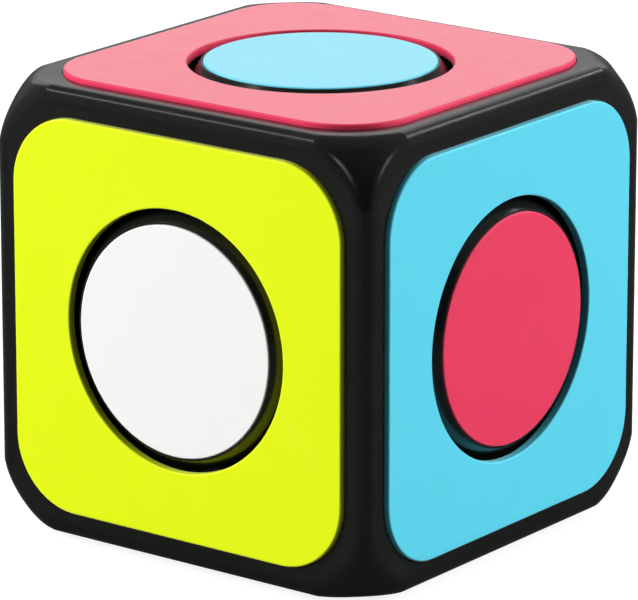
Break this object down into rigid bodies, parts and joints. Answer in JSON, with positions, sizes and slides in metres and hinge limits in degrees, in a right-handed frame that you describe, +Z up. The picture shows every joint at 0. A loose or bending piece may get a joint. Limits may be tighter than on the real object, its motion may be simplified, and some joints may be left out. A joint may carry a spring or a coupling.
{
  "type": "twisty puzzle cube",
  "caption": "Cube-shaped twisty puzzle: black shell with a coloured plate on each side and a sprung, spinning disc in each plate's round hole.",
  "frame": {"origin": "centre of the bottom disc's face, which the cube stands on; the cube's centre is 28.15 mm above it", "axes": "+Z up through the top disc; -Y is the front (yellow plate), +X the right side (blue plate)"},
  "size_m": [0.0562, 0.0562, 0.0563],
  "materials": {
    "black_plastic": "glossy black ABS",
    "core_plastic": "natural moulded nylon",
    "bearing_steel": "ground bearing steel",
    "screw_steel": "zinc plated steel",
    "spring_steel": "drawn spring wire",
    "yellow_plastic": "satin yellow ABS, coloured all through",
    "blue_plastic": "satin blue ABS, coloured all through",
    "pink_plastic": "satin pink ABS, coloured all through",
    "white_plastic": "satin white ABS, coloured all through",
    "green_plastic": "satin green ABS, coloured all through",
    "orange_plastic": "satin orange ABS, coloured all through"
  },
  "bodies": {
    "shell": {"shell_upper": "black_plastic", "shell_lower": "black_plastic", "shell_dowels": "screw_steel", "core": "core_plastic", "top_plate": "pink_plastic", "top_shoulder_screw": "screw_steel", "top_spring": "spring_steel", "bottom_plate": "orange_plastic", "bottom_shoulder_screw": "screw_steel", "bottom_spring": "spring_steel", "front_plate": "yellow_plastic", "front_shoulder_screw": "screw_steel", "front_spring": "spring_steel", "back_plate": "white_plastic", "back_shoulder_screw": "screw_steel", "back_spring": "spring_steel", "right_plate": "blue_plastic", "right_shoulder_screw": "screw_steel", "right_spring": "spring_steel", "left_plate": "green_plastic", "left_shoulder_screw": "screw_steel", "left_spring": "spring_steel"},
    "top_plunger_group": {"top_plunger": "core_plastic", "top_bearing_inner_ring": "bearing_steel"},
    "top_disc_group": {"top_disc_tile": "blue_plastic", "top_disc_cap": "black_plastic", "top_bearing_outer_ring": "bearing_steel", "top_bearing_ball_set": "bearing_steel"},
    "bottom_plunger_group": {"bottom_plunger": "core_plastic", "bottom_bearing_inner_ring": "bearing_steel"},
    "bottom_disc_group": {"bottom_disc_tile": "green_plastic", "bottom_disc_cap": "black_plastic", "bottom_bearing_outer_ring": "bearing_steel", "bottom_bearing_ball_set": "bearing_steel"},
    "front_plunger_group": {"front_plunger": "core_plastic", "front_bearing_inner_ring": "bearing_steel"},
    "front_disc_group": {"front_disc_tile": "white_plastic", "front_disc_cap": "black_plastic", "front_bearing_outer_ring": "bearing_steel", "front_bearing_ball_set": "bearing_steel"},
    "back_plunger_group": {"back_plunger": "core_plastic", "back_bearing_inner_ring": "bearing_steel"},
    "back_disc_group": {"back_disc_tile": "yellow_plastic", "back_disc_cap": "black_plastic", "back_bearing_outer_ring": "bearing_steel", "back_bearing_ball_set": "bearing_steel"},
    "right_plunger_group": {"right_plunger": "core_plastic", "right_bearing_inner_ring": "bearing_steel"},
    "right_disc_group": {"right_disc_tile": "pink_plastic", "right_disc_cap": "black_plastic", "right_bearing_outer_ring": "bearing_steel", "right_bearing_ball_set": "bearing_steel"},
    "left_plunger_group": {"left_plunger": "core_plastic", "left_bearing_inner_ring": "bearing_steel"},
    "left_disc_group": {"left_disc_tile": "orange_plastic", "left_disc_cap": "black_plastic", "left_bearing_outer_ring": "bearing_steel", "left_bearing_ball_set": "bearing_steel"}
  },
  "joints": [
    {"name": "top_disc_press", "type": "slide", "parent": "shell", "child": "top_plunger_group", "axis": [0, 0, 1], "range_m": [-0.004, 0], "stiffness_N_per_m": 600, "springref_m": 0.006, "deforming": ["top_spring"]},
    {"name": "top_disc_spin", "type": "hinge", "parent": "top_plunger_group", "child": "top_disc_group", "pos_m": [0, 0, 0.02815], "axis": [0, 0, 1], "continuous": true},
    {"name": "bottom_disc_press", "type": "slide", "parent": "shell", "child": "bottom_plunger_group", "axis": [0, 0, -1], "range_m": [-0.004, 0], "stiffness_N_per_m": 600, "springref_m": 0.006, "deforming": ["bottom_spring"]},
    {"name": "bottom_disc_spin", "type": "hinge", "parent": "bottom_plunger_group", "child": "bottom_disc_group", "pos_m": [0, 0, 0.02815], "axis": [0, 0, -1], "continuous": true},
    {"name": "front_disc_press", "type": "slide", "parent": "shell", "child": "front_plunger_group", "axis": [0, -1, 0], "range_m": [-0.004, 0], "stiffness_N_per_m": 600, "springref_m": 0.006, "deforming": ["front_spring"]},
    {"name": "front_disc_spin", "type": "hinge", "parent": "front_plunger_group", "child": "front_disc_group", "pos_m": [0, 0, 0.02815], "axis": [0, -1, 0], "continuous": true},
    {"name": "back_disc_press", "type": "slide", "parent": "shell", "child": "back_plunger_group", "axis": [0, 1, 0], "range_m": [-0.004, 0], "stiffness_N_per_m": 600, "springref_m": 0.006, "deforming": ["back_spring"]},
    {"name": "back_disc_spin", "type": "hinge", "parent": "back_plunger_group", "child": "back_disc_group", "pos_m": [0, 0, 0.02815], "axis": [0, 1, 0], "continuous": true},
    {"name": "right_disc_press", "type": "slide", "parent": "shell", "child": "right_plunger_group", "axis": [1, 0, 0], "range_m": [-0.004, 0], "stiffness_N_per_m": 600, "springref_m": 0.006, "deforming": ["right_spring"]},
    {"name": "right_disc_spin", "type": "hinge", "parent": "right_plunger_group", "child": "right_disc_group", "pos_m": [0, 0, 0.02815], "axis": [1, 0, 0], "continuous": true},
    {"name": "left_disc_press", "type": "slide", "parent": "shell", "child": "left_plunger_group", "axis": [-1, 0, 0], "range_m": [-0.004, 0], "stiffness_N_per_m": 600, "springref_m": 0.006, "deforming": ["left_spring"]},
    {"name": "left_disc_spin", "type": "hinge", "parent": "left_plunger_group", "child": "left_disc_group", "pos_m": [0, 0, 0.02815], "axis": [-1, 0, 0], "continuous": true}
  ]
}
